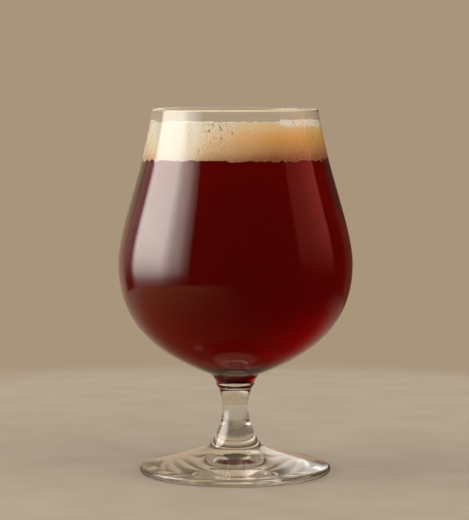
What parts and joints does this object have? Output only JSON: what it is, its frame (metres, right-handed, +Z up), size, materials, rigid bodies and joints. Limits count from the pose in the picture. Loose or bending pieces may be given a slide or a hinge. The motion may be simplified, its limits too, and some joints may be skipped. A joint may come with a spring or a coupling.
{
  "type": "snifter glass",
  "caption": "Stemmed snifter glass with a tulip bowl, short waisted stem and wide foot, holding dark red beer under a cream foam head.",
  "frame": {"origin": "on the glass's axis, in the plane that the foot stands on", "axes": "+Z up along the axis through foot, stem and bowl to the rim; +X to the right in the picture; the picture looks along +Y"},
  "size_m": [0.0966, 0.0966, 0.15],
  "materials": {
    "bowl_glass": "polished",
    "stem_glass": "polished",
    "foot_glass": "polished",
    "beer": "gloss",
    "foam": "matte"
  },
  "bodies": {
    "root": {"bowl": "bowl_glass", "stem": "stem_glass", "foot": "foot_glass", "beer": "beer", "foam_head": "foam"}
  },
  "joints": []
}
